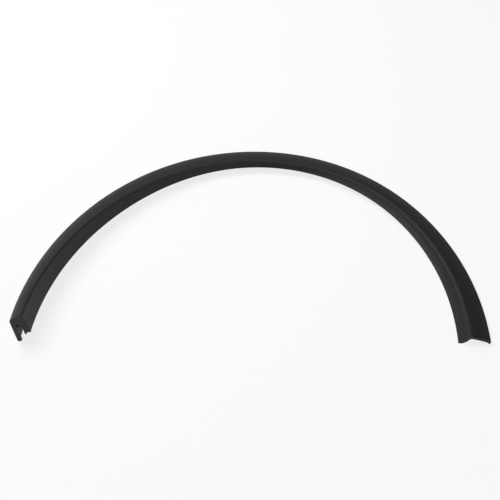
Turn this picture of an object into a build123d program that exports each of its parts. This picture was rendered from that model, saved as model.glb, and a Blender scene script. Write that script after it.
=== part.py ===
from build123d import *
import math
import os

# Wheel arch trim: one injection moulding, a thin channel that follows the edge of a wheel opening.
# It lies face up on its back edges. X runs across the wheel opening, the crown points to +Y and +Z
# is outboard. The deep end is at -X and is closed by a wall, the thin end is at +X and is open.
# All sizes are in millimetres.

# Plan of the outer edge: half an ellipse, carried on a little past its widest line
half_width = 430.0
crown_height = 496.0
end_drop = 8.0

# Section at the deep end: height of the outer skirt, width and rise of the face up to the ridge,
# then width and height of the flank down from the ridge to the inner edge.
# The face bulges a little, and the ridge is crisp at the deep end and soft at the thin end.
deep_end_skirt = 59.5
deep_end_face = 27.0
deep_end_rise = 19.5
deep_end_lean = 5.5
deep_end_drop = 49.0
deep_end_bulge = 3.0
deep_end_ridge = 4.0

# Section at the haunch on the deep side
deep_haunch_skirt = 35.0
deep_haunch_face = 41.5
deep_haunch_rise = 11.0
deep_haunch_lean = 4.5
deep_haunch_drop = 29.0
deep_haunch_bulge = 3.0
deep_haunch_ridge = 4.0

# Section at the crown
crown_skirt = 17.0
crown_face = 43.5
crown_rise = 10.0
crown_lean = 7.5
crown_drop = 12.0
crown_bulge = 2.5
crown_ridge = 4.0

# Section at the haunch on the thin side
thin_haunch_skirt = 11.0
thin_haunch_face = 36.0
thin_haunch_rise = 12.5
thin_haunch_lean = 17.5
thin_haunch_drop = 12.5
thin_haunch_bulge = 1.5
thin_haunch_ridge = 6.0

# Section at the thin end
thin_end_skirt = 7.0
thin_end_face = 39.0
thin_end_rise = 14.0
thin_end_lean = 19.0
thin_end_drop = 21.0
thin_end_bulge = 1.0
thin_end_ridge = 7.5

# Walls and edges of the section
wall = 3.0
skirt_wall = 4.0
outer_edge_chamfer = 1.0
lip_reach = 3.0
lip_thickness = 2.5

# Wall that closes the deep end: a flush frame round a window that is open below
frame_thickness = 4.0
prong_width = 8.5
prong_radius = 3.0
frame_side = 4.5
frame_band = 8.0
window_radius = 5.0

# Panel set back behind the window: a hook, whose notch beside the prong takes a locating tab,
# and a shorter side that runs on to the flank
panel_thickness = 3.0
panel_margin = 4.0
panel_reach = 14.0
notch_width = 8.5
notch_radius = 4.2
notch_below_band = 13.0
hook_leg = 4.0
hook_leg_radius = 1.9
side_reach = 8.0

# Rib under the rim of the open thin end
end_rib_thickness = 2.5
end_rib_depth = 3.0

# Clip seats under the face: slotted plates on three walls, evenly spaced along the arch
seat_count = 8
first_seat = 0.08
last_seat = 0.88
seat_length = 24.0
seat_width = 16.0
seat_depth = 11.0
seat_wall = 2.0
seat_plate = 2.5
seat_inset = 8.0
slot_width = 8.0

# Thin cross ribs, half way between the clip seats
rib_thickness = 1.6
rib_depth = 7.0

# Largest share of a width that the radius of a corner on each side of it may take
largest_radius_share = 0.495

# Number of sections in the loft
section_count = 13

# Sizes of the section at five places, evenly spaced from the deep end to the thin end
STATIONS = {
    "skirt": (deep_end_skirt, deep_haunch_skirt, crown_skirt, thin_haunch_skirt, thin_end_skirt),
    "face": (deep_end_face, deep_haunch_face, crown_face, thin_haunch_face, thin_end_face),
    "rise": (deep_end_rise, deep_haunch_rise, crown_rise, thin_haunch_rise, thin_end_rise),
    "lean": (deep_end_lean, deep_haunch_lean, crown_lean, thin_haunch_lean, thin_end_lean),
    "drop": (deep_end_drop, deep_haunch_drop, crown_drop, thin_haunch_drop, thin_end_drop),
    "bulge": (deep_end_bulge, deep_haunch_bulge, crown_bulge, thin_haunch_bulge, thin_end_bulge),
    "ridge": (deep_end_ridge, deep_haunch_ridge, crown_ridge, thin_haunch_ridge, thin_end_ridge),
}


def along(size, share):
    """Size of the section at a share of the way from the deep end (0) to the thin end (1)."""
    values = STATIONS[size]
    last = len(values) - 1
    index = min(int(share * last), last - 1)
    q = share * last - index

    def slope(i):
        before = max(i - 1, 0)
        after = min(i + 1, last)
        return (values[after] - values[before]) / (after - before)

    start = (2 * q**3 - 3 * q**2 + 1) * values[index] + (q**3 - 2 * q**2 + q) * slope(index)
    end = (3 * q**2 - 2 * q**3) * values[index + 1] + (q**3 - q**2) * slope(index + 1)
    return start + end


def section_plane(share):
    """Plane across the arch: local X points into the wheel opening, local Y points up."""
    overrun = math.asin(end_drop / crown_height)
    angle = math.pi + overrun - share * (math.pi + 2 * overrun)
    place = Vector(half_width * math.cos(angle), crown_height * math.sin(angle), 0)
    inward = Vector(-math.cos(angle) / half_width, -math.sin(angle) / crown_height, 0).normalized()
    return Plane(origin=place, x_dir=inward, z_dir=inward.cross(Vector(0, 0, 1)))


def outer_corners(share):
    """Outer edge, ridge and inner edge of the outside of the section."""
    edge = Vector(0, along("skirt", share))
    ridge = edge + Vector(along("face", share), along("rise", share))
    inner = ridge + Vector(along("lean", share), -along("drop", share))
    return edge, ridge, inner


def inside_corners(share, depth, skirt_depth):
    """Outer edge and ridge moved in by a depth, and the way the flank runs down from the ridge."""
    edge, ridge, inner = outer_corners(share)
    face_way = (ridge - edge).normalized()
    flank_way = (inner - ridge).normalized()
    face_point = edge + Vector(face_way.Y, -face_way.X) * depth
    flank_point = inner + Vector(flank_way.Y, -flank_way.X) * depth
    in_edge = face_point + face_way * ((skirt_depth - face_point.X) / face_way.X)
    gap = flank_point - face_point
    turn = face_way.X * flank_way.Y - face_way.Y * flank_way.X
    in_ridge = face_point + face_way * ((gap.X * flank_way.Y - gap.Y * flank_way.X) / turn)
    return in_edge, in_ridge, flank_way


def down_flank(point, flank_way, height):
    """Point at a height, straight down the flank from a given point."""
    return point + flank_way * ((height - point.Y) / flank_way.Y)


def bulged(start, end, share):
    """Arc between two points that stands proud of the straight line by the bulge of the face."""
    middle = (start + end) * 0.5
    run = (end - start).normalized()
    return ThreePointArc(start, middle + Vector(-run.Y, run.X) * along("bulge", share), end)


def filled(*lines):
    """Face inside a closed run of lines and arcs."""
    return make_face([edge for line in lines for edge in line.edges()])


def channel_section(share):
    """Section of the moulded channel at one place along the arch."""
    edge, ridge, inner = outer_corners(share)
    in_edge, in_ridge, flank_way = inside_corners(share, wall, skirt_wall)
    lip_top = inner.Y + lip_thickness
    flank_foot = down_flank(in_ridge, flank_way, lip_top)
    lip_tip = flank_foot.X - lip_reach
    section = filled(
        Line((0, 0), edge),
        bulged(edge, ridge, share),
        Polyline(ridge, inner, (lip_tip, inner.Y), (lip_tip, lip_top), flank_foot, in_ridge),
        bulged(in_edge, in_ridge, share),
        Polyline(in_edge, (skirt_wall, 0), (0, 0)),
    )
    section = fillet(section.vertices().sort_by_distance(ridge)[0], along("ridge", share))
    section = chamfer(section.vertices().sort_by_distance(edge)[0], outer_edge_chamfer)
    return section_plane(share) * section


def channel():
    """The long moulded channel, lofted through sections along the arch."""
    shares = [i / (section_count - 1) for i in range(section_count)]
    return loft([channel_section(share) for share in shares])


def under_face(share):
    """Space under the face at one place, down to the back plane and half way into the walls round it."""
    in_edge, in_ridge, flank_way = inside_corners(share, wall / 2, skirt_wall / 2)
    inner = outer_corners(share)[2]
    flank_foot = down_flank(in_ridge, flank_way, inner.Y)
    around = Polyline(in_ridge, flank_foot, (flank_foot.X, 0), (in_edge.X, 0), in_edge)
    return filled(bulged(in_edge, in_ridge, share), around)


def rectangle(left, bottom, right, top):
    """Rectangle between two corners."""
    return Pos((left + right) / 2, (bottom + top) / 2) * Rectangle(right - left, top - bottom)


def paired_radius(radius, width):
    """Radius of two corners that face each other across a width, kept just under half of it."""
    return min(radius, width * largest_radius_share)


def end_wall():
    """Wall of the deep end: a flush frame round a window, and a notched panel set back behind it."""
    edge, _, inner = outer_corners(0)
    window_left = prong_width
    window_right = inner.X - frame_side
    window_top = edge.Y - frame_band
    window = rectangle(window_left, 0, window_right, window_top)
    window_width = window_right - window_left
    window = fillet(window.vertices().group_by(Axis.Y)[-1], paired_radius(window_radius, window_width))
    below_flank = rectangle(window_left, 0, inner.X, inner.Y)
    frame = under_face(0) - window - below_flank
    frame = fillet(frame.vertices().sort_by_distance((window_left, 0))[0], prong_radius)

    notch_right = window_left + notch_width
    notch_top = window_top - notch_below_band
    notch = rectangle(window_left, 0, notch_right, notch_top)
    notch = fillet(notch.vertices().group_by(Axis.Y)[-1], paired_radius(notch_radius, notch_width))
    panel_left = window_left - panel_margin
    leg_right = notch_right + hook_leg
    panel_foot = inner.Y - panel_reach
    panel_top = window_top + panel_margin
    hook = rectangle(panel_left, panel_foot, leg_right, panel_top)
    side = rectangle(notch_right, inner.Y - side_reach, inner.X - wall, panel_top)
    panel = (hook + side) & under_face(0)
    panel -= notch
    leg_corners = [(notch_right, panel_foot), (leg_right, panel_foot)]
    leg_foot = [panel.vertices().sort_by_distance(corner)[0] for corner in leg_corners]
    panel = fillet(leg_foot, paired_radius(hook_leg_radius, hook_leg))

    front = section_plane(0)
    back = front.offset(-frame_thickness)
    wall_frame = extrude(front * frame, -frame_thickness, dir=front.z_dir)
    wall_panel = extrude(back * panel, -panel_thickness, dir=front.z_dir)
    return wall_frame + wall_panel


def above_feet(share, depth, skirt_depth, below):
    """Space at a depth under the face, down to a line below the feet of the skirt and the flank."""
    in_edge, in_ridge, flank_way = inside_corners(share, depth, skirt_depth)
    flank_foot = down_flank(in_ridge, flank_way, outer_corners(share)[2].Y - below)
    around = Polyline(in_ridge, flank_foot, (in_edge.X, -below), in_edge)
    return filled(bulged(in_edge, in_ridge, share), around)


def end_rib():
    """Rib under the rim of the thin end, all along the face and the flank."""
    rim = above_feet(1, wall / 2, skirt_wall / 2, 0)
    rim -= above_feet(1, wall + end_rib_depth, skirt_wall, wall)
    plane = section_plane(1)
    return extrude(plane * rim, end_rib_thickness, dir=plane.z_dir)


def clip_seat(share):
    """Slotted plate on three walls, hanging from the face, that the head of a push clip slides into."""
    edge, ridge, _ = outer_corners(share)
    middle = seat_inset + seat_width / 2
    roof = edge.Y + (ridge.Y - edge.Y) * middle / ridge.X + along("bulge", share) - wall
    foot = roof - seat_depth
    height = ridge.Y - foot
    head_height = height - seat_plate

    seat = Pos(middle, foot + height / 2, 0) * Box(seat_width, height, seat_length)
    head_room = Box(seat_width - 2 * seat_wall, head_height, seat_length)
    seat -= Pos(middle, foot + seat_plate + head_height / 2, seat_wall) * head_room
    slot_depth = 2 * seat_plate
    slot_end = Rot(90, 0, 0) * Cylinder(slot_width / 2, slot_depth)
    slot_run = Pos(0, 0, seat_length / 4) * Box(slot_width, slot_depth, seat_length / 2)
    seat -= Pos(middle, foot + seat_plate / 2, 0) * (slot_end + slot_run)

    plane = section_plane(share)
    room = extrude(plane * under_face(share), seat_length, both=True)
    return (plane * seat) & room


def cross_rib(share):
    """Thin web across the underside of the face."""
    edge, ridge, _ = outer_corners(share)
    above = Vector(0, along("bulge", share))
    below = Vector(0, -rib_depth)
    band = filled(Polyline(edge + above, ridge + above, ridge + below, edge + below, close=True))
    return extrude(section_plane(share) * (band & under_face(share)), rib_thickness / 2, both=True)


def wheel_arch_trim():
    """The whole moulding, with its origin under the middle of its box."""
    trim = channel() + end_wall() + end_rib()
    pitch = (last_seat - first_seat) / (seat_count - 1)
    for i in range(seat_count):
        share = first_seat + i * pitch
        trim += clip_seat(share)
        if i > 0:
            trim += cross_rib(share - pitch / 2)
    return Pos(0, (end_drop - crown_height) / 2, 0) * trim


os.makedirs("parts", exist_ok=True)
export_step(wheel_arch_trim(), "parts/wheel_arch_trim.step")
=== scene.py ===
import math

import bmesh
import bpy
from mathutils import Matrix, Vector


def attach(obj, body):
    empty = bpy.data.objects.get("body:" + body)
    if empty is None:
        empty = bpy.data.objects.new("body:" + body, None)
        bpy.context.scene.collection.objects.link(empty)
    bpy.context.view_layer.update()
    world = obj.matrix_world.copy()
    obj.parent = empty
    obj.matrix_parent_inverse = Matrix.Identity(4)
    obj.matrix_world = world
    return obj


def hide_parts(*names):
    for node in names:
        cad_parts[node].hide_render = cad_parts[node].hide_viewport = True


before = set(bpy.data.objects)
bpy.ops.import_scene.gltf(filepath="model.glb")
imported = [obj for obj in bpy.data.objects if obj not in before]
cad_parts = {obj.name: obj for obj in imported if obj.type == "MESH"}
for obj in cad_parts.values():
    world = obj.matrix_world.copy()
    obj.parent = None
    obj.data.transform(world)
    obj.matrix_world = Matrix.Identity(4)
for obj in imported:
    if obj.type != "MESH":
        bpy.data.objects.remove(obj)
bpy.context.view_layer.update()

# Sizes of the moulding in millimetres, the same as those of the solid that it stands for,
# but with a softer ridge towards the thin end, a slightly hollow flank and finely rounded edges
MM = 0.001
PLAN = {"Half Width": 430.0, "Crown Height": 496.0, "End Drop": 8.0}

# Sizes of the section at five places along the arch: the height of the outer skirt, the way in and up
# across the face to the ridge, the way in and down the flank, the crown of the face, the radius of the
# ridge and the hollow of the flank
PLACES = ("Deep End", "Deep Haunch", "Crown", "Thin Haunch", "Thin End")
STATIONS = {
    "Skirt": (59.5, 35.0, 17.0, 11.0, 7.0),
    "Face": (27.0, 41.5, 43.5, 36.0, 39.0),
    "Rise": (19.5, 11.0, 10.0, 12.5, 14.0),
    "Lean": (5.5, 4.5, 7.5, 17.5, 19.0),
    "Drop": (49.0, 29.0, 12.0, 12.5, 21.0),
    "Bulge": (3.0, 3.0, 2.5, 1.5, 1.0),
    "Ridge": (4.0, 4.0, 4.0, 7.0, 11.0),
    "Hollow": (0.1, 0.1, 0.2, 0.9, 1.8),
}
STATION_SIZES = {
    f"{place} {name}": value for name, row in STATIONS.items() for place, value in zip(PLACES, row)
}

# The skirt stands a hair inside that of the solid, so that the mesh keeps within the solid's box
WALLS = {"Wall": 3.0, "Skirt Wall": 4.0, "Skirt Inset": 0.06}
LIP = {"Lip Reach": 3.0, "Lip Thickness": 2.5}
RADII = {
    "Outer Edge Radius": 1.2,
    "Inner Edge Radius": 0.6,
    "Lip Radius": 0.6,
    "Inside Corner Radius": 0.3,
    "Back Edge Radius": 0.5,
}

# How strongly the rounded ridge moves down the flank, where the crowned face falls away before it
RIDGE_FALL = 6.0

# Clip seats and cross ribs under the face
SEAT = {
    "Seat Length": 24.0,
    "Seat Width": 16.0,
    "Seat Depth": 11.0,
    "Seat Wall": 2.0,
    "Seat Plate": 2.5,
    "Seat Inset": 8.0,
    "Slot Width": 8.0,
}
RIB = {"Rib Thickness": 1.6, "Rib Depth": 7.0}

# Seats along the arch, as shares of the way from the deep end to the thin end
SEAT_COUNT = 8
FIRST_SEAT = 0.08
LAST_SEAT = 0.88
SEAT_PITCH = (LAST_SEAT - FIRST_SEAT) / (SEAT_COUNT - 1)

# Wall of the deep end, in millimetres: a flush frame with a prong, and a hook set back behind it
FRAME_THICKNESS = 4.0
PRONG_WIDTH = 8.5
PRONG_RADIUS = 3.0
FRAME_SIDE = 4.5
FRAME_BAND = 8.0
WINDOW_RADIUS = 5.0
HOOK_THICKNESS = 3.0
HOOK_MARGIN = 4.0
HOOK_REACH = 14.0
HOOK_LEG = 4.0
HOOK_LEG_RADIUS = 1.9
SIDE_REACH = 8.0
NOTCH_WIDTH = 8.5
NOTCH_BELOW_BAND = 13.0

# Rib under the rim of the thin end, in millimetres
END_RIB_THICKNESS = 2.5
END_RIB_DEPTH = 3.0

# Fineness of the mesh: rows along the arch, and points across a crowned side and round each kind of curve
ROWS = 193
CROWN_POINTS = 13
RIDGE_POINTS = 9
CORNER_POINTS = 4
ARC_POINTS = 9
NOTCH_POINTS = 17
SLOT_POINTS = 32

# Angle in degrees from which an edge is shaded as a sharp one
SHARP_ANGLE = 35.0

# Gaps in millimetres: points that are joined where strips meet, and slivers that are taken out
SEAM = 0.002
SLIVER = 0.001

# Plastic: sizes in metres of the pebbled grain, of its fine texture and of the patches of uneven sheen
PEBBLE_SIZE = 0.0009
FINE_GRAIN_SIZE = 0.0005
FINE_GRAIN_DETAIL = 3.0
PATCH_SIZE = 0.03
PATCH_DETAIL = 4.0
GRAIN_DEPTH = 0.00006
GRAIN_STRENGTH = 0.5
DARK_TONE = (0.0179, 0.0179, 0.0191, 1.0)
LIGHT_TONE = (0.0218, 0.0218, 0.0233, 1.0)
SPECULAR = 0.2

# Lowest and highest level of the patches, and how rough the plastic is there
PATCH_LEVELS = (0.3, 0.7)
ROUGHNESS = (0.52, 0.60)

# Camera, fitted to the photograph: place in metres, angles in degrees, lens in millimetres
CAMERA_PLACE = Vector((0.0981, -1.1183, 1.2109))
CAMERA_AZIMUTH = -5.60
CAMERA_ELEVATION = 47.81
CAMERA_ROLL = -4.25
CAMERA_LENS = 58.8

# Floor in metres, a hair below the trim, and the height of the backdrop round it
FLOOR_HALF = 15.0
FLOOR_LEVEL = -0.0003
BACKDROP_HEIGHT = 3.2
FLOOR_COLOUR = (0.97, 0.97, 0.97, 1.0)
WHITE = (1.0, 1.0, 1.0, 1.0)

# Share of plain white in what the camera sees of the floor, which keeps the rest for light and shadow
FLOOR_WHITE = 0.8

# Strength of the sky, and size of the lamps and their distance from the trim in metres
SKY_LEVEL = 0.08
LAMP_SIZE = 1.6
LAMP_DISTANCE = 2.6

# Soft lamps: compass angle from +X and height in degrees, and power in watts
LAMPS = {
    "high_key": (150.0, 60.0, 59.5),
    "low_key": (150.0, 15.0, 3.0),
    "back_light": (90.0, 35.0, 4.5),
    "low_fill": (300.0, 15.0, 18.0),
}


class Rule:
    """A number in a node tree, so that the rules of the shape read as ordinary sums."""

    def __init__(self, tree, socket):
        self.tree = tree
        self.socket = socket

    def math(self, operation, *others):
        """One step of arithmetic on this number and others."""
        return calculated(self.tree, operation, self, *others)

    def __add__(self, other):
        return self.math("ADD", other)

    __radd__ = __add__

    def __sub__(self, other):
        return self.math("SUBTRACT", other)

    def __rsub__(self, other):
        return calculated(self.tree, "SUBTRACT", other, self)

    def __mul__(self, other):
        return self.math("MULTIPLY", other)

    __rmul__ = __mul__

    def __truediv__(self, other):
        return self.math("DIVIDE", other)

    def __rtruediv__(self, other):
        return calculated(self.tree, "DIVIDE", other, self)

    def __neg__(self):
        return self * -1.0

    def limited(self, low, high):
        return self.math("MAXIMUM", low).math("MINIMUM", high)


class Spot:
    """A vector in a node tree, with the same arithmetic as a plain vector."""

    def __init__(self, tree, socket):
        self.tree = tree
        self.socket = socket
        self.parts = None

    def math(self, operation, **inputs):
        """Outputs of one step of arithmetic on this vector and another vector or a scale."""
        node = self.tree.nodes.new("ShaderNodeVectorMath")
        node.operation = operation
        feed(self.tree, node.inputs[0], self)
        for name, value in inputs.items():
            feed(self.tree, node.inputs["Scale" if name == "scale" else 1], value)
        return node.outputs

    def __add__(self, other):
        return Spot(self.tree, self.math("ADD", other=other)[0])

    def __sub__(self, other):
        return Spot(self.tree, self.math("SUBTRACT", other=other)[0])

    def __mul__(self, factor):
        return Spot(self.tree, self.math("SCALE", scale=factor)[0])

    def dot(self, other):
        return Rule(self.tree, self.math("DOT_PRODUCT", other=other)["Value"])

    def normalized(self):
        return Spot(self.tree, self.math("NORMALIZE")[0])

    def part(self, index):
        """One of the three numbers of the vector."""
        if self.parts is None:
            self.parts = add_node(self.tree, "ShaderNodeSeparateXYZ", {"Vector": self}).outputs
        return Rule(self.tree, self.parts[index])

    @property
    def x(self):
        return self.part(0)

    @property
    def y(self):
        return self.part(1)

    @property
    def z(self):
        return self.part(2)


def spot(x, y, z=0.0):
    """Vector from rules or plain numbers. In the section x is inward from the outer edge and y is up."""
    for value in (x, y, z):
        if isinstance(value, Rule):
            inputs = {"X": x, "Y": y, "Z": z}
            return Spot(value.tree, add_node(value.tree, "ShaderNodeCombineXYZ", inputs).outputs[0])
    return Vector((x, y, z))


def calculated(tree, operation, *values):
    """Rule for one step of arithmetic."""
    node = add_node(tree, "ShaderNodeMath", operation=operation)
    for socket, value in zip(node.inputs, values):
        feed(tree, socket, value)
    return Rule(tree, node.outputs[0])


def feed(tree, socket, value):
    """Gives a socket a plain value, or links it to a rule or another socket."""
    if isinstance(value, (Rule, Spot)):
        value = value.socket
    if isinstance(value, bpy.types.NodeSocket):
        tree.links.new(value, socket)
    else:
        socket.default_value = value


def add_node(tree, kind, inputs=(), **settings):
    """New node with its settings and inputs."""
    node = tree.nodes.new(kind)
    for name, value in settings.items():
        setattr(node, name, value)
    for name, value in dict(inputs).items():
        feed(tree, node.inputs[name], value)
    return node


class Tree:
    """Geometry node tree with named inputs and outputs."""

    KINDS = {
        "number": "NodeSocketFloat",
        "count": "NodeSocketInt",
        "spot": "NodeSocketVector",
        "mesh": "NodeSocketGeometry",
        "material": "NodeSocketMaterial",
    }

    def __init__(self, name, inputs, outputs):
        self.group = bpy.data.node_groups.new(name, "GeometryNodeTree")
        for direction, sockets in (("INPUT", inputs), ("OUTPUT", outputs)):
            for socket, kind in sockets.items():
                self.group.interface.new_socket(socket, in_out=direction, socket_type=self.KINDS[kind])
        self.inputs = inputs
        self.outputs = outputs
        self.given = self.group.nodes.new("NodeGroupInput").outputs
        self.result = self.group.nodes.new("NodeGroupOutput").inputs

    def wrapped(self, socket):
        """Socket as a rule or a spot, where it is a number or a vector."""
        if socket.type == "VECTOR":
            return Spot(self.group, socket)
        if socket.type in ("VALUE", "INT"):
            return Rule(self.group, socket)
        return socket

    def __getitem__(self, name):
        return self.wrapped(self.given[name])

    def __setitem__(self, name, value):
        feed(self.group, self.result[name], value)

    def add(self, kind, inputs=(), **settings):
        """First output of a new node."""
        return self.wrapped(add_node(self.group, kind, inputs, **settings).outputs[0])

    def use(self, other, **inputs):
        """Outputs of another tree, whose other inputs come from this tree's inputs of the same name."""
        node = add_node(self.group, "GeometryNodeGroup", node_tree=other.group)
        for name in other.inputs:
            given = name.lower().replace(" ", "_")
            feed(self.group, node.inputs[name], inputs[given] if given in inputs else self[name])
        return [self.wrapped(node.outputs[name]) for name in other.outputs]

    def made(self, name, sizes, material):
        """Object with the plain mesh that the tree makes from sizes in millimetres."""
        obj = new_object(name, bpy.data.meshes.new(name))
        modifier = obj.modifiers.new(name, "NODES")
        modifier.node_group = self.group
        for item in self.group.interface.items_tree:
            if item.name in sizes:
                modifier[item.identifier] = sizes[item.name] * MM
            elif item.name == "Material":
                modifier[item.identifier] = material
        obj.data = evaluated_mesh(obj)
        obj.modifiers.remove(modifier)
        return obj


def new_object(name, data):
    """Object in the scene with its data."""
    obj = bpy.data.objects.new(name, data)
    bpy.context.scene.collection.objects.link(obj)
    return obj


def evaluated_mesh(obj):
    """Plain mesh of an object after its modifiers."""
    return bpy.data.meshes.new_from_object(obj.evaluated_get(bpy.context.evaluated_depsgraph_get()))


def numbers(*groups):
    """Inputs of a tree for the named sizes of some groups."""
    return {name: "number" for group in groups for name in group}


def outer_corners(part):
    """Outer edge, ridge and inner edge of the outside of the section."""
    edge = spot(0.0, part["Skirt"])
    ridge = edge + spot(part["Face"], part["Rise"])
    inner = ridge + spot(part["Lean"], -part["Drop"])
    return edge, ridge, inner


def inside_corners(part, depth, skirt_depth):
    """Outer edge and ridge moved in by a depth, and the way the flank runs down from the ridge."""
    edge, ridge, inner = outer_corners(part)
    face_way = (ridge - edge).normalized()
    flank_way = (inner - ridge).normalized()
    face_side = spot(face_way.y, -face_way.x)
    flank_side = spot(flank_way.y, -flank_way.x)
    in_ridge = ridge + (face_side + flank_side) * (depth / (face_side.dot(flank_side) + 1.0))
    in_edge = in_ridge + face_way * ((skirt_depth - in_ridge.x) / face_way.x)
    return in_edge, in_ridge, flank_way


def down_flank(point, flank_way, height):
    """Point at a height, straight down the flank from a given point."""
    return point + flank_way * ((height - point.y) / flank_way.y)


def bulged(start, end, bulge):
    """Control point of a curve that stands proud of its straight line by the bulge."""
    run = (end - start).normalized()
    return (start + end) * 0.5 + spot(-run.y, run.x) * (bulge * 2.0)


def curve(start, control, end, share, weight=1.0):
    """Point on a conic from start to end: an arc of a circle if the weight suits the turn."""
    back = 1.0 - share
    first = back * back
    second = share * back * (weight * 2.0)
    third = share * share
    return (start * first + control * second + end * third) * (1.0 / (first + second + third))


def root(value):
    """Square root of a rule, or of a plain number."""
    return value.math("SQRT") if isinstance(value, Rule) else math.sqrt(value)


def rounded(before, corner, after, radius):
    """Rounding of a corner of the section: where its arc starts and ends, and the weight of the arc."""
    arriving = (corner - before).normalized()
    leaving = (after - corner).normalized()
    turn = arriving.dot(leaving)
    setback = radius * root((1.0 - turn) / (turn + 1.0))
    return corner - arriving * setback, corner + leaving * setback, root((turn + 1.0) * 0.5)


def station_weight(gap):
    """Weight of a station that lies a number of stations away, for a smooth run through them all."""
    gap = gap.math("ABSOLUTE")
    near = gap.limited(0.0, 1.0)
    far = gap.limited(1.0, 2.0)
    near_weight = 1.0 - near * near * (2.5 - near * 1.5)
    far_weight = 2.0 - far * (4.0 - far * (2.5 - far * 0.5))
    return near_weight + far_weight


def section_rule():
    """Sizes of the section at a share of the way along the arch."""
    tree = Tree("section", {"Share": "number", **numbers(STATION_SIZES)}, numbers(STATIONS))
    last = len(PLACES) - 1
    weights = [station_weight(tree["Share"] * float(last) - float(i)) for i in range(-1, last + 2)]
    for name in STATIONS:
        row = [tree[f"{place} {name}"] for place in PLACES]
        row = [row[0] * 2.0 - row[1], *row, row[-1] * 2.0 - row[-2]]
        tree[name] = sum(value * weight for value, weight in zip(row, weights))
    return tree


def arch_rule():
    """Place on the outer edge at a share of the way along the arch, the way inward and the way back."""
    outputs = {"Place": "spot", "Inward": "spot", "Back": "spot"}
    tree = Tree("arch", {"Share": "number", **numbers(PLAN)}, outputs)
    half_width = tree["Half Width"]
    crown_height = tree["Crown Height"]
    overrun = (tree["End Drop"] / crown_height).math("ARCSINE")
    angle = overrun + math.pi - tree["Share"] * (overrun * 2.0 + math.pi)
    cosine = angle.math("COSINE")
    sine = angle.math("SINE")
    inward = spot(-cosine / half_width, -sine / crown_height).normalized()
    tree["Place"] = spot(half_width * cosine, crown_height * sine + (tree["End Drop"] - crown_height) * 0.5)
    tree["Inward"] = inward
    tree["Back"] = spot(inward.y, -inward.x)
    return tree


def corner_rule():
    """Rounding of a corner of the section, as a tree that the channel uses once for each corner."""
    inputs = {"Before": "spot", "Corner": "spot", "After": "spot", "Radius": "number"}
    tree = Tree("rounded_corner", inputs, {"Start": "spot", "End": "spot", "Weight": "number"})
    results = rounded(tree["Before"], tree["Corner"], tree["After"], tree["Radius"])
    for name, value in zip(tree.outputs, results):
        tree[name] = value
    return tree


def strip_rule():
    """Strip of mesh along the whole arch, curved across from a start to an end."""
    inputs = {"Start": "spot", "Control": "spot", "End": "spot", "Weight": "number", "Points": "count"}
    inputs.update({"Place": "spot", "Inward": "spot"})
    tree = Tree("strip", inputs, {"Mesh": "mesh"})
    sizes = {"Size X": 1.0, "Size Y": 1.0, "Vertices X": tree["Points"], "Vertices Y": ROWS}
    grid = tree.add("GeometryNodeMeshGrid", sizes)
    across = tree.add("GeometryNodeInputPosition").x + 0.5
    point = curve(tree["Start"], tree["Control"], tree["End"], across, tree["Weight"])
    tree["Mesh"] = moved(tree, grid, tree["Place"] + tree["Inward"] * point.x + spot(0.0, 0.0, point.y))
    return tree


def moved(tree, mesh, position):
    """Mesh with its points moved to a position."""
    return tree.add("GeometryNodeSetPosition", {"Geometry": mesh, "Position": position})


def end_tree(tree, mesh):
    """Ends a tree with real mesh in its material."""
    real = tree.add("GeometryNodeRealizeInstances", {"Geometry": mesh})
    tree["Mesh"] = tree.add("GeometryNodeSetMaterial", {"Geometry": real, "Material": tree["Material"]})


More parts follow.
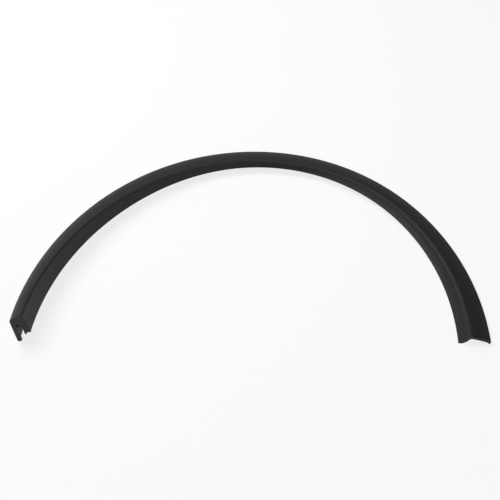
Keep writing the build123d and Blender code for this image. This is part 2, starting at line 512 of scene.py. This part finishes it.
def channel_tree(section, arch):
    """The moulded channel: a strip along the arch for each side and each rounded corner of its section."""
    inputs = numbers(PLAN, STATION_SIZES, WALLS, LIP, RADII)
    tree = Tree("channel", {"Material": "material", **inputs}, {"Mesh": "mesh"})
    share = tree.add("GeometryNodeInputPosition").y + 0.5
    place, inward, _ = tree.use(arch, share=share)
    part = dict(zip(STATIONS, tree.use(section, share=share)))
    edge, ridge, inner = outer_corners(part)
    in_edge, in_ridge, flank_way = inside_corners(part, tree["Wall"], tree["Skirt Wall"])
    lip_top = inner.y + tree["Lip Thickness"]
    flank_foot = down_flank(in_ridge, flank_way, lip_top)
    lip_tip = flank_foot.x - tree["Lip Reach"]
    bulge = part["Bulge"]

    # The crowned face falls away before the ridge, so the rounding there sits a little lower on the flank
    run = ridge - edge
    ridge = ridge + flank_way * (part["Ridge"] * part["Ridge"] * bulge * RIDGE_FALL / run.dot(run))

    # Corners of the section in order, each with its radius and the bulge of the side that follows it
    inset = tree["Skirt Inset"]
    corners = [
        (spot(inset, 0.0), tree["Back Edge Radius"], None),
        (spot(inset, edge.y), tree["Outer Edge Radius"], bulge),
        (ridge, part["Ridge"], -part["Hollow"]),
        (inner, tree["Inner Edge Radius"], None),
        (spot(lip_tip, inner.y), tree["Lip Radius"], None),
        (spot(lip_tip, lip_top), tree["Lip Radius"], None),
        (flank_foot, tree["Inside Corner Radius"], part["Hollow"]),
        (in_ridge, part["Ridge"] - tree["Wall"], -bulge),
        (in_edge, tree["Inside Corner Radius"], None),
        (spot(tree["Skirt Wall"], 0.0), tree["Back Edge Radius"], None),
    ]
    controls = []
    for i, (corner, _, bow) in enumerate(corners):
        following = corners[(i + 1) % len(corners)][0]
        controls.append((corner + following) * 0.5 if bow is None else bulged(corner, following, bow))
    rounding = corner_rule()
    arcs = []
    for i, (corner, radius, _) in enumerate(corners):
        before = controls[i - 1]
        arcs.append(tree.use(rounding, before=before, corner=corner, after=controls[i], radius=radius))

    strip = strip_rule()
    join = tree.group.nodes.new("GeometryNodeJoinGeometry")
    line = {"place": place, "inward": inward}
    for i, (corner, _, bow) in enumerate(corners):
        start, end, weight = arcs[i]
        points = RIDGE_POINTS if corner in (ridge, in_ridge) else CORNER_POINTS
        bend = tree.use(strip, start=start, control=corner, end=end, weight=weight, points=points, **line)
        start = end
        end = arcs[(i + 1) % len(arcs)][0]
        points = 2 if bow is None else CROWN_POINTS
        side = tree.use(strip, start=start, control=controls[i], end=end, weight=1.0, points=points, **line)
        for mesh in bend + side:
            tree.group.links.new(mesh, join.inputs[0])
    joined = {"Geometry": join.outputs[0], "Distance": SEAM * MM}
    end_tree(tree, tree.add("GeometryNodeMergeByDistance", joined))
    return tree


def repeated(tree, mesh, count, first_share):
    """Copies of a mesh, one pitch apart along the arch, and the share that each of them lies at."""
    points = tree.add("GeometryNodePoints", {"Count": count})
    copies = tree.add("GeometryNodeInstanceOnPoints", {"Points": points, "Instance": mesh})
    share = tree.add("GeometryNodeInputIndex") * SEAT_PITCH + first_share
    inputs = {"Geometry": copies, "Name": "share", "Value": share}
    stored = tree.add("GeometryNodeStoreNamedAttribute", inputs, data_type="FLOAT", domain="INSTANCE")
    real = tree.add("GeometryNodeRealizeInstances", {"Geometry": stored})
    return real, tree.add("GeometryNodeInputNamedAttribute", {"Name": "share"}, data_type="FLOAT")


def block(tree, size, middle, points=2):
    """Box with its size and the place of its middle."""
    cube = tree.add("GeometryNodeMeshCube", {"Size": size, "Vertices X": points})
    return tree.add("GeometryNodeTransform", {"Geometry": cube, "Translation": middle})


def seat_tree(section, arch):
    """Clip seats: slotted plates on three walls that reach up into the face."""
    inputs = numbers(PLAN, STATION_SIZES, WALLS, SEAT)
    tree = Tree("clip_seats", {"Material": "material", **inputs}, {"Mesh": "mesh"})
    length = tree["Seat Length"]
    width = tree["Seat Width"]
    plate = tree["Seat Plate"]
    height = tree["Seat Depth"]
    slot = tree["Slot Width"]
    wall = tree["Seat Wall"]

    # The tools for the slot are long enough to cut right through the plate
    through = plate * 4.0
    body = block(tree, spot(width, length, height), spot(0.0, 0.0, height * 0.5))
    room = block(tree, spot(width - wall * 2.0, length, height), spot(0.0, wall, plate + height * 0.5))
    slot_run = block(tree, spot(slot, length * 0.5, through), spot(0.0, length * 0.25, 0.0))
    sizes = {"Vertices": SLOT_POINTS, "Radius": slot * 0.5, "Depth": through}
    slot_end = tree.add("GeometryNodeMeshCylinder", sizes)
    cut = add_node(tree.group, "GeometryNodeMeshBoolean", {"Mesh 1": body}, operation="DIFFERENCE")
    for tool in (room, slot_run, slot_end):
        tree.group.links.new(tool, cut.inputs["Mesh 2"])

    seats, share = repeated(tree, cut.outputs["Mesh"], SEAT_COUNT, FIRST_SEAT)
    place, inward, back = tree.use(arch, share=share)
    part = dict(zip(STATIONS, tree.use(section, share=share)))
    edge, ridge, _ = outer_corners(part)
    in_edge, in_ridge, _ = inside_corners(part, tree["Wall"] * 0.5, tree["Skirt Wall"] * 0.5)
    local = tree.add("GeometryNodeInputPosition")
    middle = tree["Seat Inset"] + width * 0.5
    roof = edge.y + (ridge.y - edge.y) * (middle / ridge.x) + part["Bulge"] - tree["Wall"]
    reach = local.x + middle

    # The walls of a seat end half way into the face above it, and its plate stays level
    run = (reach - in_edge.x) / (in_ridge.x - in_edge.x)
    top = in_edge.y + (in_ridge.y - in_edge.y) * run + part["Bulge"] * run * (1.0 - run) * 4.0
    is_top = local.z.math("GREATER_THAN", plate * 1.5)
    up = (roof - height + local.z) * (1.0 - is_top) + top * is_top
    end_tree(tree, moved(tree, seats, place + inward * reach + back * local.y + spot(0.0, 0.0, up)))
    return tree


def rib_tree(section, arch):
    """Thin cross ribs under the face, half way between the clip seats."""
    inputs = numbers(PLAN, STATION_SIZES, WALLS, RIB)
    tree = Tree("cross_ribs", {"Material": "material", **inputs}, {"Mesh": "mesh"})
    web = block(tree, spot(1.0, tree["Rib Thickness"], 1.0), spot(0.5, 0.0, 0.5), CROWN_POINTS)
    ribs, share = repeated(tree, web, SEAT_COUNT - 1, FIRST_SEAT + SEAT_PITCH / 2)
    place, inward, back = tree.use(arch, share=share)
    part = dict(zip(STATIONS, tree.use(section, share=share)))
    edge, ridge, _ = outer_corners(part)
    in_edge, in_ridge, flank_way = inside_corners(part, tree["Wall"] * 0.5, tree["Skirt Wall"] * 0.5)
    local = tree.add("GeometryNodeInputPosition")
    top = curve(in_edge, bulged(in_edge, in_ridge, part["Bulge"]), in_ridge, local.x)
    foot_left = spot(in_edge.x, edge.y - tree["Rib Depth"])
    foot_right = down_flank(in_ridge, flank_way, ridge.y - tree["Rib Depth"])
    foot = foot_left + (foot_right - foot_left) * local.x
    point = foot + (top - foot) * local.z
    end_tree(tree, moved(tree, ribs, place + inward * point.x + back * local.y + spot(0.0, 0.0, point.y)))
    return tree


def arc(x, y, radius, first, last, count=ARC_POINTS):
    """Points round a centre between two angles in degrees."""
    angles = [math.radians(first + (last - first) * i / (count - 1)) for i in range(count)]
    return [spot(x + radius * math.cos(a), y + radius * math.sin(a)) for a in angles]


def end_plate(name, outline, front, back, side, material):
    """Plate across an end, between two depths: side is -1 at the deep end, 1 at the thin."""
    overrun = math.asin(PLAN["End Drop"] / PLAN["Crown Height"])
    middle = (PLAN["End Drop"] - PLAN["Crown Height"]) / 2
    place = Vector((PLAN["Half Width"] * math.cos(overrun) * side, middle - PLAN["End Drop"], 0.0))
    across = -math.cos(overrun) / PLAN["Half Width"] * side
    inward = Vector((across, math.sin(overrun) / PLAN["Crown Height"], 0.0)).normalized()
    ahead = Vector((inward.y * side, -inward.x * side, 0.0))
    shape = bmesh.new()
    rings = []
    for depth in (front, back):
        points = [place + inward * p.x + ahead * depth + Vector((0.0, 0.0, p.y)) for p in outline]
        rings.append([shape.verts.new(p * MM) for p in points])
    shape.faces.new(rings[0])
    shape.faces.new(rings[1])
    for i in range(len(outline)):
        shape.faces.new((rings[0][i - 1], rings[0][i], rings[1][i], rings[1][i - 1]))
    bmesh.ops.recalc_face_normals(shape, faces=shape.faces)
    mesh = bpy.data.meshes.new(name)
    shape.to_mesh(mesh)
    shape.free()
    mesh.materials.append(material)
    return new_object(name, mesh)


def under_face(part, depth, skirt_depth):
    """Points at a depth under the face and the flank, from the skirt to the foot of the flank."""
    in_edge, in_ridge, flank_way = inside_corners(part, depth, skirt_depth)
    flank_foot = down_flank(in_ridge, flank_way, outer_corners(part)[2].y)
    face_control = bulged(in_edge, in_ridge, part["Bulge"])
    flank_control = bulged(in_ridge, flank_foot, -part["Hollow"])
    start, end, weight = rounded(face_control, in_ridge, flank_control, part["Ridge"] - depth)
    shares = [i / (CROWN_POINTS - 1) for i in range(CROWN_POINTS)]
    face = [curve(in_edge, face_control, start, share) for share in shares]
    ridge = [curve(start, in_ridge, end, share, weight) for share in shares]
    flank = [curve(end, flank_control, flank_foot, share) for share in shares]
    return face + ridge[1:] + flank[1:]


def end_wall(material):
    """Wall of the deep end: a flush frame round a window, and a notched hook set back behind it."""
    part = {name: row[0] for name, row in STATIONS.items()}
    edge, _, inner = outer_corners(part)
    around = under_face(part, WALLS["Wall"] / 2, WALLS["Skirt Wall"] / 2)
    left = PRONG_WIDTH
    right = inner.x - FRAME_SIDE
    top = edge.y - FRAME_BAND
    radius = WINDOW_RADIUS
    outline = [spot(around[0].x, 0.0), *around, spot(right, inner.y)]
    outline += arc(right - radius, top - radius, radius, 0, 90)
    outline += arc(left + radius, top - radius, radius, 90, 180)
    outline += arc(left - PRONG_RADIUS, PRONG_RADIUS, PRONG_RADIUS, 0, -90)
    wall_frame = end_plate("end_frame", outline, 0.0, FRAME_THICKNESS, -1, material)

    notch_radius = NOTCH_WIDTH / 2
    notch_right = left + NOTCH_WIDTH
    hook_left = left - HOOK_MARGIN
    leg_right = notch_right + HOOK_LEG
    side_right = inner.x - WALLS["Wall"]
    hook_top = top + HOOK_MARGIN
    hook_foot = inner.y - HOOK_REACH
    side_foot = inner.y - SIDE_REACH
    foot_middle = hook_foot + HOOK_LEG_RADIUS
    outline = [spot(hook_left, hook_foot), spot(hook_left, hook_top), spot(side_right, hook_top)]
    outline += [spot(side_right, side_foot), spot(leg_right, side_foot)]
    outline += arc(leg_right - HOOK_LEG_RADIUS, foot_middle, HOOK_LEG_RADIUS, 0, -90)
    outline += arc(notch_right + HOOK_LEG_RADIUS, foot_middle, HOOK_LEG_RADIUS, -90, -180)
    notch_middle = top - NOTCH_BELOW_BAND - notch_radius
    outline += arc(left + notch_radius, notch_middle, notch_radius, 0, 180, NOTCH_POINTS)
    outline += [spot(left, hook_foot)]
    back = FRAME_THICKNESS + HOOK_THICKNESS
    return wall_frame, end_plate("end_hook", outline, FRAME_THICKNESS, back, -1, material)


def end_rib(material):
    """Rib under the rim of the thin end, all along the face and the flank."""
    part = {name: row[-1] for name, row in STATIONS.items()}
    foot = outer_corners(part)[2].y
    top = under_face(part, WALLS["Wall"] / 2, WALLS["Skirt Wall"] / 2)
    bottom = under_face(part, WALLS["Wall"] + END_RIB_DEPTH, WALLS["Skirt Wall"])
    outline = [spot(top[0].x, foot), *top, *reversed(bottom), spot(bottom[0].x, foot)]
    return end_plate("end_rib", outline, 0.0, END_RIB_THICKNESS, 1, material)


def close_ends(obj):
    """Fills the two open ends of the channel and turns its faces outward."""
    shape = bmesh.new()
    shape.from_mesh(obj.data)
    bmesh.ops.holes_fill(shape, edges=[edge for edge in shape.edges if edge.is_boundary], sides=0)
    bmesh.ops.recalc_face_normals(shape, faces=shape.faces)
    shape.to_mesh(obj.data)
    shape.free()


def fused(name, base, others):
    """One moulding from a base and the shapes that grow out of it."""
    tools = bpy.data.collections.new("grown_on")
    for obj in others:
        tools.objects.link(obj)
    modifier = base.modifiers.new("fuse", "BOOLEAN")
    modifier.operation = "UNION"
    modifier.solver = "EXACT"
    modifier.operand_type = "COLLECTION"
    modifier.collection = tools
    mesh = evaluated_mesh(base)
    mesh.name = name
    for obj in (base, *others):
        bpy.data.objects.remove(obj)
    bpy.data.collections.remove(tools)
    shape = bmesh.new()
    shape.from_mesh(mesh)
    bmesh.ops.dissolve_degenerate(shape, edges=shape.edges, dist=SLIVER * MM)
    shape.to_mesh(mesh)
    shape.free()
    mesh.polygons.foreach_set("use_smooth", [True] * len(mesh.polygons))
    mesh.set_sharp_from_angle(angle=math.radians(SHARP_ANGLE))
    return new_object(name, mesh)


def grained_plastic():
    """Black moulded plastic: a fine pebbled grain, slightly uneven in tone and sheen."""
    material = bpy.data.materials.new("grained_black_plastic")
    material.use_nodes = True
    tree = material.node_tree
    shader = tree.nodes["Principled BSDF"]
    place = add_node(tree, "ShaderNodeTexCoord").outputs["Object"]

    pebbles = add_node(tree, "ShaderNodeTexVoronoi", {"Vector": place, "Scale": 1.0 / PEBBLE_SIZE})
    inputs = {"Vector": place, "Scale": 1.0 / FINE_GRAIN_SIZE, "Detail": FINE_GRAIN_DETAIL}
    fine = add_node(tree, "ShaderNodeTexNoise", inputs)
    inputs = {"Vector": place, "Scale": 1.0 / PATCH_SIZE, "Detail": PATCH_DETAIL}
    patches = add_node(tree, "ShaderNodeTexNoise", inputs)
    height = Rule(tree, fine.outputs[0]) - Rule(tree, pebbles.outputs["Distance"])
    bump = {"Height": height, "Strength": GRAIN_STRENGTH, "Distance": GRAIN_DEPTH}
    feed(tree, shader.inputs["Normal"], add_node(tree, "ShaderNodeBump", bump).outputs[0])

    tone = Rule(tree, fine.outputs[0]) * 0.5 + Rule(tree, patches.outputs[0]) * 0.5
    mix = add_node(tree, "ShaderNodeMix", data_type="RGBA")
    colours = [socket for socket in mix.inputs if socket.type == "RGBA"]
    for socket, value in zip([mix.inputs[0], *colours], (tone, DARK_TONE, LIGHT_TONE)):
        feed(tree, socket, value)
    blend = [socket for socket in mix.outputs if socket.type == "RGBA"][0]
    feed(tree, shader.inputs["Base Color"], blend)
    ends = zip(("From Min", "From Max", "To Min", "To Max"), (*PATCH_LEVELS, *ROUGHNESS))
    sheen = {"Value": patches.outputs[0], **dict(ends)}
    feed(tree, shader.inputs["Roughness"], add_node(tree, "ShaderNodeMapRange", sheen).outputs[0])
    shader.inputs["Specular IOR Level"].default_value = SPECULAR
    return material


def camera():
    """Camera at the photograph's viewing angle."""
    azimuth = math.radians(CAMERA_AZIMUTH)
    elevation = math.radians(CAMERA_ELEVATION)
    roll = math.radians(CAMERA_ROLL)
    level = math.cos(elevation)
    ahead = Vector((math.sin(azimuth) * level, math.cos(azimuth) * level, -math.sin(elevation)))
    right = Vector((math.cos(azimuth), -math.sin(azimuth), 0.0))
    up = right.cross(ahead)
    side = right * math.cos(roll) + up * math.sin(roll)
    top = up * math.cos(roll) - right * math.sin(roll)
    data = bpy.data.cameras.new("camera")
    data.lens = CAMERA_LENS
    obj = new_object("camera", data)
    turn = Matrix((side, top, -ahead)).transposed().to_4x4()
    obj.matrix_world = Matrix.Translation(CAMERA_PLACE) @ turn
    bpy.context.scene.camera = obj


def floor():
    """Plain pale floor that the trim lies on, with a low backdrop on all sides."""
    mesh = bpy.data.meshes.new("floor")
    square = ((-1, -1), (1, -1), (1, 1), (-1, 1))
    heights = (FLOOR_LEVEL, BACKDROP_HEIGHT)
    corners = [(x * FLOOR_HALF, y * FLOOR_HALF, height) for height in heights for x, y in square]
    count = len(square)
    sides = [(i, (i + 1) % count) for i in range(count)]
    walls = [(first, second, second + count, first + count) for first, second in sides]
    mesh.from_pydata(corners, [], [tuple(range(count)), *walls])
    mesh.materials.append(pale_floor())
    new_object("floor", mesh)


def pale_floor():
    """White floor that shows a soft shadow."""
    material = bpy.data.materials.new("pale_floor")
    material.use_nodes = True
    tree = material.node_tree
    tree.nodes.clear()
    matte = add_node(tree, "ShaderNodeBsdfDiffuse", {"Color": FLOOR_COLOUR})
    white = add_node(tree, "ShaderNodeEmission", {"Color": WHITE, "Strength": 1.0})
    path = add_node(tree, "ShaderNodeLightPath").outputs
    seen = Rule(tree, path["Is Camera Ray"])
    for name in ("Is Glossy Ray", "Is Transmission Ray"):
        seen = seen.math("MAXIMUM", Rule(tree, path[name]))
    share = seen * FLOOR_WHITE
    mixed = tree.nodes.new("ShaderNodeMixShader")
    for socket, value in zip(mixed.inputs, (share, matte.outputs[0], white.outputs[0])):
        feed(tree, socket, value)
    output = tree.nodes.new("ShaderNodeOutputMaterial")
    feed(tree, output.inputs["Surface"], mixed.outputs[0])
    return material


def lights():
    """Soft studio light: a dim sky and large square lamps that face the trim."""
    world = bpy.data.worlds.new("studio")
    bpy.context.scene.world = world
    world.use_nodes = True
    sky = world.node_tree.nodes["Background"]
    sky.inputs["Color"].default_value = WHITE
    sky.inputs["Strength"].default_value = SKY_LEVEL
    for name, (compass, height, power) in LAMPS.items():
        lamp = bpy.data.lights.new(name, "AREA")
        lamp.size = LAMP_SIZE
        lamp.energy = power
        compass = math.radians(compass)
        height = math.radians(height)
        level = math.cos(height)
        way = Vector((math.cos(compass) * level, math.sin(compass) * level, math.sin(height)))
        place = way * LAMP_DISTANCE
        turn = (-place).to_track_quat("-Z", "Y").to_matrix().to_4x4()
        new_object(name, lamp).matrix_world = Matrix.Translation(place) @ turn


def wheel_arch_trim():
    """The whole moulding as one mesh."""
    plastic = grained_plastic()
    section = section_rule()
    arch = arch_rule()
    sizes = {**PLAN, **STATION_SIZES, **WALLS, **LIP, **RADII, **SEAT, **RIB}
    channel = channel_tree(section, arch).made("channel", sizes, plastic)
    close_ends(channel)
    seats = seat_tree(section, arch).made("clip_seats", sizes, plastic)
    ribs = rib_tree(section, arch).made("cross_ribs", sizes, plastic)
    return fused("trim_moulding", channel, [seats, ribs, *end_wall(plastic), end_rib(plastic)])


trim = wheel_arch_trim()
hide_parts("wheel_arch_trim")
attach(trim, "root")

bpy.context.scene.view_settings.view_transform = "Standard"
camera()
floor()
lights()
